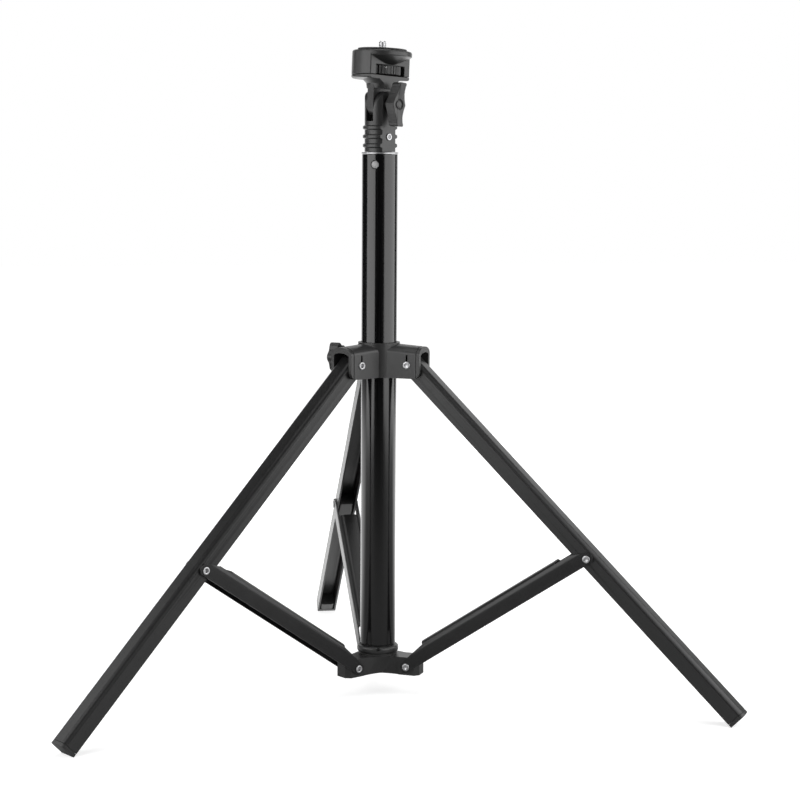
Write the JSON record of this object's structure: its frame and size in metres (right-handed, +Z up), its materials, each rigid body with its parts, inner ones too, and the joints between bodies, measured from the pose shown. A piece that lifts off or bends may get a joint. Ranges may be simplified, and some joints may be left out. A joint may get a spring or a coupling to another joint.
{
  "type": "folding tripod light stand",
  "caption": "Black folding three-legged light stand with a sliding collar, bracing struts, telescoping tubes and a tilting head with a 1/4 inch screw.",
  "frame": {"origin": "centre of the stand's box on the floor, with the legs open; the column stands at x = 0, y = -76.8 mm", "axes": "+Z up along the column, +Y along the rear leg, +X to the right leg's side"},
  "size_m": [0.562, 0.488, 0.5548],
  "materials": {
    "bright_steel": "bright plated steel",
    "black_plastic": "matte black moulded plastic",
    "brass": "plain brass",
    "black_rubber": "matte rubber",
    "satin_black_paint": "satin black powder coat",
    "anodised_black": "glossy black anodised",
    "grey_button": "light grey moulded plastic",
    "bare_aluminium": "bare turned aluminium"
  },
  "bodies": {
    "column": {"outer_tube": "anodised_black", "tube_ring": "bare_aluminium", "hub": "black_plastic", "hub_screw": "bright_steel", "hub_rivet_front_left": "bright_steel", "hub_rivet_front_right": "bright_steel", "hub_rivet_rear": "bright_steel"},
    "collar": {"collar": "black_plastic", "collar_rivet_front_left": "bright_steel", "collar_rivet_front_right": "bright_steel", "collar_rivet_rear": "bright_steel"},
    "clamp_knob": {"clamp_knob": "black_plastic", "clamp_screw": "bright_steel", "clamp_pad": "brass"},
    "mid_tube": {"mid_tube": "anodised_black", "mid_guide": "black_plastic"},
    "top_tube": {"top_tube": "anodised_black", "top_guide": "black_plastic", "neck": "black_plastic", "neck_screw": "bright_steel", "tilt_nut": "bright_steel"},
    "tilt_knob": {"tilt_knob": "black_plastic", "tilt_bolt": "bright_steel"},
    "head": {"head_base": "black_plastic", "head_housing": "black_plastic", "head_pad": "black_rubber"},
    "thumb_wheel": {"thumb_wheel": "black_plastic", "camera_screw": "bright_steel"},
    "release_button": {"release_button": "grey_button"},
    "leg_front_left": {"leg_front_left": "satin_black_paint", "foot_cap_front_left": "black_plastic", "leg_spacer_front_left": "black_plastic", "brace_pin_front_left": "bright_steel"},
    "strut_front_left": {"strut_front_left": "satin_black_paint", "stud_domed_front_left": "bright_steel", "stud_hollow_front_left": "bright_steel"},
    "leg_front_right": {"leg_front_right": "satin_black_paint", "foot_cap_front_right": "black_plastic", "leg_spacer_front_right": "black_plastic", "brace_pin_front_right": "bright_steel"},
    "strut_front_right": {"strut_front_right": "satin_black_paint", "stud_domed_front_right": "bright_steel", "stud_hollow_front_right": "bright_steel"},
    "leg_rear": {"leg_rear": "satin_black_paint", "foot_cap_rear": "black_plastic", "leg_spacer_rear": "black_plastic", "brace_pin_rear": "bright_steel"},
    "strut_rear": {"strut_rear": "satin_black_paint", "stud_domed_rear": "bright_steel", "stud_hollow_rear": "bright_steel"}
  },
  "joints": [
    {"name": "collar_slide", "type": "slide", "parent": "column", "child": "collar", "axis": [0, 0, 1], "range_m": [0, 0.14956]},
    {"name": "mid_tube_slide", "type": "slide", "parent": "column", "child": "mid_tube", "axis": [0, 0, 1], "range_m": [0, 0.33]},
    {"name": "top_tube_slide", "type": "slide", "parent": "mid_tube", "child": "top_tube", "axis": [0, 0, 1], "range_m": [0, 0.33]},
    {"name": "head_tilt", "type": "hinge", "parent": "top_tube", "child": "head", "pos_m": [0, -0.0768, 0.502], "axis": [0.5736, -0.8192, 0], "range_deg": [-87, 92]},
    {"name": "tilt_knob_turn", "type": "hinge", "parent": "top_tube", "child": "tilt_knob", "pos_m": [0, -0.0768, 0.502], "axis": [0.5736, -0.8192, 0], "continuous": true},
    {"name": "thumb_wheel_turn", "type": "hinge", "parent": "head", "child": "thumb_wheel", "pos_m": [0.00103, -0.07608, 0.52687], "axis": [0.0414, 0.029, 0.9987], "continuous": true},
    {"name": "clamp_knob_turn", "type": "hinge", "parent": "collar", "child": "clamp_knob", "pos_m": [0, -0.0768, 0.28888], "axis": [-0.866, 0.5, 0], "continuous": true},
    {"name": "release_press", "type": "slide", "parent": "column", "child": "release_button", "axis": [0.4384, 0.8988, 0], "range_m": [0, 0.001], "stiffness_N_per_m": 600},
    {"name": "leg_fold_front_left", "type": "hinge", "parent": "collar", "child": "leg_front_left", "pos_m": [-0.02572, -0.09165, 0.28518], "axis": [0.5, -0.866, 0], "range_deg": [0, 45.41]},
    {"name": "strut_fold_front_left", "type": "hinge", "parent": "column", "child": "strut_front_left", "pos_m": [-0.02572, -0.09165, 0.0252], "axis": [-0.5, 0.866, 0], "range_deg": [0, 56.05]},
    {"name": "leg_fold_front_right", "type": "hinge", "parent": "collar", "child": "leg_front_right", "pos_m": [0.02572, -0.09165, 0.28518], "axis": [0.5, 0.866, 0], "range_deg": [0, 45.41]},
    {"name": "strut_fold_front_right", "type": "hinge", "parent": "column", "child": "strut_front_right", "pos_m": [0.02572, -0.09165, 0.0252], "axis": [-0.5, -0.866, 0], "range_deg": [0, 56.05]},
    {"name": "leg_fold_rear", "type": "hinge", "parent": "collar", "child": "leg_rear", "pos_m": [0, -0.0471, 0.28518], "axis": [-1, 0, 0], "range_deg": [0, 45.41]},
    {"name": "strut_fold_rear", "type": "hinge", "parent": "column", "child": "strut_rear", "pos_m": [0, -0.0471, 0.0252], "axis": [1, 0, 0], "range_deg": [0, 56.05]}
  ],
  "couplings": [
    {"joint": "leg_fold_front_left", "follows": "collar_slide", "rad_per_m": 5.2991},
    {"joint": "strut_fold_front_left", "follows": "collar_slide", "rad_per_m": 6.541},
    {"joint": "leg_fold_front_right", "follows": "collar_slide", "rad_per_m": 5.2991},
    {"joint": "strut_fold_front_right", "follows": "collar_slide", "rad_per_m": 6.541},
    {"joint": "leg_fold_rear", "follows": "collar_slide", "rad_per_m": 5.2991},
    {"joint": "strut_fold_rear", "follows": "collar_slide", "rad_per_m": 6.541}
  ]
}
